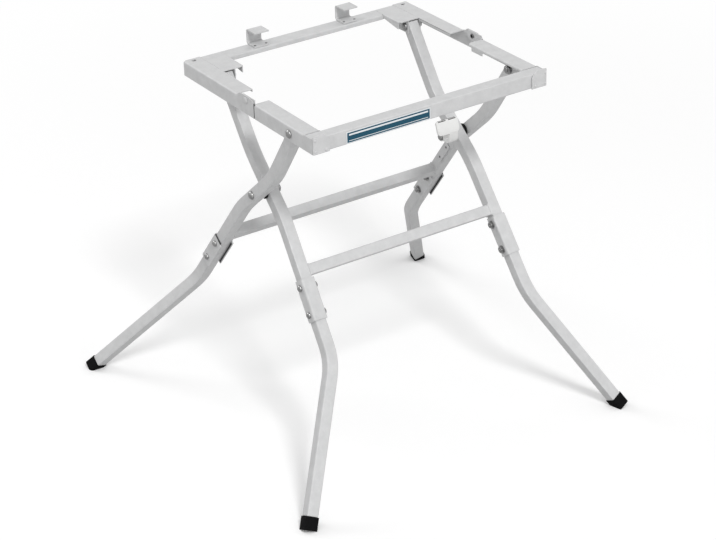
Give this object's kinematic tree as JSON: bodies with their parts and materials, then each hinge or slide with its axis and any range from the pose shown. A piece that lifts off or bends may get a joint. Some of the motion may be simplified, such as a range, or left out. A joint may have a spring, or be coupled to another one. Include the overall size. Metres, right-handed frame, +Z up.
{
  "type": "folding saw stand",
  "caption": "Folding stand for a benchtop saw: a hinged top frame with hooks on crossing tube legs that splay to rubber feet.",
  "frame": {"origin": "on the floor, under the middle of the stand's outline", "axes": "+X to the right of someone who stands in front of the label, +Y to the rear, +Z up"},
  "size_m": [0.7186, 0.6678, 0.6265],
  "materials": {
    "powder_coat": "light grey powder coat, satin",
    "zinc": "zinc plated",
    "rubber": "moulded black rubber",
    "black_plastic": "moulded black plastic",
    "white_plastic": "moulded white plastic",
    "label": "blue-green label film with a pale edge"
  },
  "bodies": {
    "rear_top": {"rear_rail": "powder_coat", "corner_plate_left": "powder_coat", "corner_plate_right": "powder_coat", "side_arm_left": "powder_coat", "side_arm_right": "powder_coat", "hinge_rivet_left": "zinc", "hinge_rivet_right": "zinc", "saw_hook_left": "powder_coat", "saw_hook_right": "powder_coat", "leg_clevis_left": "powder_coat", "leg_clevis_right": "powder_coat", "inner_pivot_bolt_left": "zinc", "inner_pivot_bolt_right": "zinc"},
    "front_top": {"front_rail": "powder_coat", "label_strip": "label", "front_channel_left": "powder_coat", "front_channel_right": "powder_coat", "hinge_ear_left": "powder_coat", "hinge_ear_right": "powder_coat", "corner_cap_left": "powder_coat", "corner_cap_right": "powder_coat", "outer_pivot_bolt_left": "zinc", "outer_pivot_bolt_right": "zinc", "outer_pivot_spacer_left": "black_plastic", "outer_pivot_spacer_right": "black_plastic"},
    "outer_legs": {"outer_leg_upper_left": "powder_coat", "outer_leg_upper_right": "powder_coat", "outer_leg_lower_left": "powder_coat", "outer_leg_lower_right": "powder_coat", "outer_sleeve_left": "powder_coat", "outer_sleeve_right": "powder_coat", "outer_foot_left": "rubber", "outer_foot_right": "rubber", "outer_sleeve_bolt_high_left": "zinc", "outer_sleeve_bolt_high_right": "zinc", "outer_sleeve_bolt_low_left": "zinc", "outer_sleeve_bolt_low_right": "zinc", "cross_pivot_bolt_left": "zinc", "cross_pivot_bolt_right": "zinc", "cross_pivot_spacer_left": "black_plastic", "cross_pivot_spacer_right": "black_plastic", "outer_crossbar": "powder_coat", "lock_catch": "powder_coat"},
    "inner_legs": {"inner_leg_upper_left": "powder_coat", "inner_leg_upper_right": "powder_coat", "inner_leg_lower_left": "powder_coat", "inner_leg_lower_right": "powder_coat", "inner_sleeve_left": "powder_coat", "inner_sleeve_right": "powder_coat", "inner_foot_left": "rubber", "inner_foot_right": "rubber", "inner_sleeve_bolt_high_left": "zinc", "inner_sleeve_bolt_high_right": "zinc", "inner_sleeve_bolt_low_left": "zinc", "inner_sleeve_bolt_low_right": "zinc", "cross_pivot_stud_left": "zinc", "cross_pivot_stud_right": "zinc", "inner_crossbar": "powder_coat"},
    "lever": {"lock_lever": "white_plastic"}
  },
  "joints": [
    {"name": "top_fold", "type": "hinge", "parent": "rear_top", "child": "front_top", "pos_m": [0, -0.03731, 0.598], "axis": [-1, 0, 0], "range_deg": [0, 160]},
    {"name": "inner_leg_fold", "type": "hinge", "parent": "rear_top", "child": "inner_legs", "pos_m": [0, 0.08719, 0.5865], "axis": [-1, 0, 0], "range_deg": [0, 50.2]},
    {"name": "outer_leg_fold", "type": "hinge", "parent": "front_top", "child": "outer_legs", "pos_m": [0, -0.16181, 0.5865], "axis": [1, 0, 0], "range_deg": [0, 50.2]},
    {"name": "lock_lever_turn", "type": "hinge", "parent": "inner_legs", "child": "lever", "pos_m": [0.1577, -0.03731, 0.4355], "axis": [1, 0, 0], "range_deg": [0, 35]}
  ],
  "couplings": [
    {"joint": "inner_leg_fold", "follows": "top_fold", "ratio": 0.3137},
    {"joint": "outer_leg_fold", "follows": "top_fold", "ratio": 0.3137}
  ]
}
